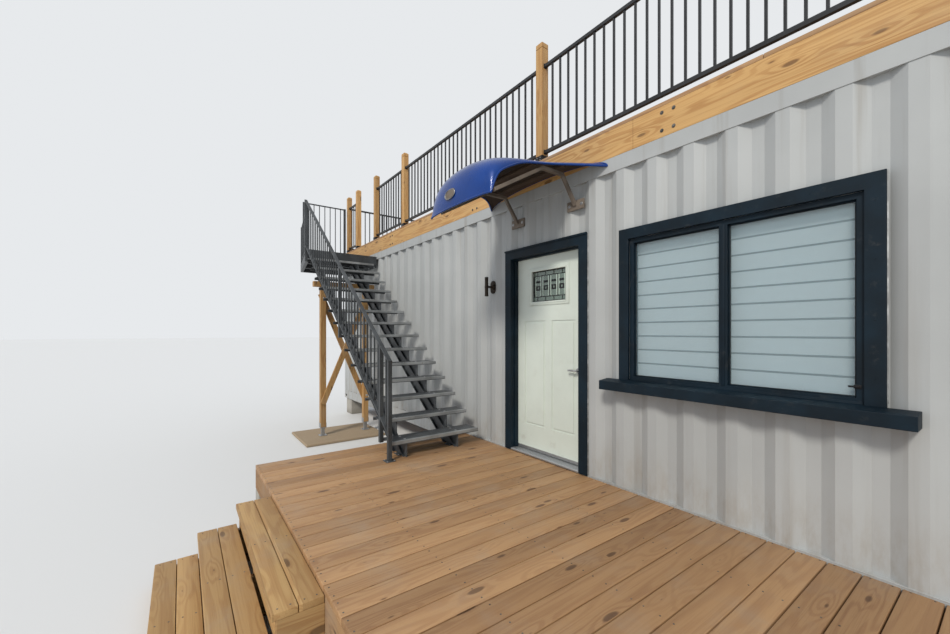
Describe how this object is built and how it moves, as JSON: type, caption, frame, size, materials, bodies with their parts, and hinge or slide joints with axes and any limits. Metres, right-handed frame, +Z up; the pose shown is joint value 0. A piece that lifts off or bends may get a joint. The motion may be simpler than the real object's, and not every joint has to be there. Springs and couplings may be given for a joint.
{
  "type": "shipping container cabin",
  "caption": "Cabin in a steel shipping container with a porch deck and steps, a curved hood over the door, a steel side stair and a railed timber roof deck.",
  "frame": {"origin": "on the ground, at the middle of the whole footprint", "axes": "+Z up, +X along the container to the right as seen from the front, and the front with the door, the porch and the stair faces -Y"},
  "size_m": [12.192, 5.507, 4.72],
  "materials": {
    "wall_paint": "satin light warm grey paint on corrugated steel",
    "underfloor_paint": "dark underbody paint",
    "floor_plywood": "sealed plywood",
    "room_lining": "white painted lining board",
    "navy_trim": "satin navy black paint",
    "door_paint": "satin pale green white paint",
    "clear_glass": "clear glass",
    "blind_fabric": "matt pleated cloth",
    "dark_metal": "satin black",
    "hinge_steel": "plain steel",
    "hood_paint": "glossy blue car paint",
    "bracket_steel": "dull grey brown paint",
    "lamp_bronze": "dark bronze",
    "golden_pine": "clear finished pine",
    "cedar_board": "oiled cedar",
    "tan_board": "light stained timber",
    "frame_timber": "treated timber",
    "railing_steel": "satin black powder coat",
    "stair_steel": "dark grey paint",
    "galvanised_steel": "zinc coated steel",
    "concrete": "rough cast concrete"
  },
  "bodies": {
    "cabin": {"corner_posts": "wall_paint", "corner_castings": "wall_paint", "bottom_rails": "wall_paint", "top_rails": "wall_paint", "floor_cross_members": "underfloor_paint", "floor": "floor_plywood", "roof_sheet": "wall_paint", "ceiling": "room_lining", "front_wall": "wall_paint", "back_wall": "wall_paint", "left_end_wall": "wall_paint", "lining_front_left": "room_lining", "lining_over_door": "room_lining", "lining_front_right": "room_lining", "lining_back": "room_lining", "lining_ends": "room_lining", "cargo_doors": "wall_paint", "cargo_lock_rods": "wall_paint", "door_frame": "navy_trim", "door_threshold": "galvanised_steel", "door_trim": "navy_trim", "window_frame": "navy_trim", "window_glass": "clear_glass", "window_trim": "navy_trim", "window_sill": "navy_trim", "window_blind": "blind_fabric", "wall_lamp": "lamp_bronze", "hood": "hood_paint", "hood_brackets": "bracket_steel", "roof_rim": "golden_pine", "roof_joists": "frame_timber", "roof_deck": "cedar_board", "roof_posts": "golden_pine", "roof_post_bases": "dark_metal", "roof_railing_front": "railing_steel", "roof_railing_back": "railing_steel", "roof_railing_ends": "railing_steel", "porch_deck": "cedar_board", "porch_frame": "frame_timber", "porch_steps": "tan_board", "step_carriages": "tan_board", "foundation_blocks": "concrete", "stair_stringers": "stair_steel", "stair_treads": "stair_steel", "stair_guard": "stair_steel", "landing_platform": "stair_steel", "landing_guard_outer": "stair_steel", "landing_guard_end": "stair_steel", "trestle_beam": "golden_pine", "trestle_posts": "golden_pine", "trestle_braces": "golden_pine", "trestle_feet": "galvanised_steel", "trestle_pad": "concrete"},
    "door": {"entry_door": "door_paint", "door_glass": "clear_glass", "door_lever": "dark_metal", "door_hinges": "hinge_steel"}
  },
  "joints": [
    {"name": "door_swing", "type": "hinge", "parent": "cabin", "child": "door", "pos_m": [-0.5235, 0.455, 1.5], "axis": [0, 0, 1], "range_deg": [0, 95]}
  ]
}
